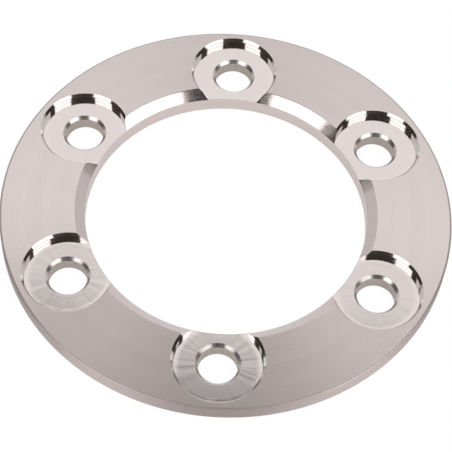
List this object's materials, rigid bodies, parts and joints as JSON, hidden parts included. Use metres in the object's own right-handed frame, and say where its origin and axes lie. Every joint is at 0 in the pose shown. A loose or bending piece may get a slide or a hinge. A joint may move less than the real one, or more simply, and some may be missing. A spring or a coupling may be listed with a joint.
{
  "type": "counterbored flange ring",
  "caption": "Flat turned steel flange ring with a bevelled centre bore and chamfered, counterbored screw holes that break out through the bevel.",
  "frame": {"origin": "centre of the bore on the ring's flat underside", "axes": "+Z along the ring's axis, out of the counterbored face; +Y through one screw hole"},
  "size_m": [0.0762, 0.0762, 0.0041],
  "materials": {
    "turned_steel": "fine turned satin face, bright machined bevels, seats and chamfers"
  },
  "bodies": {
    "root": {"flange_ring": "turned_steel"}
  },
  "joints": []
}
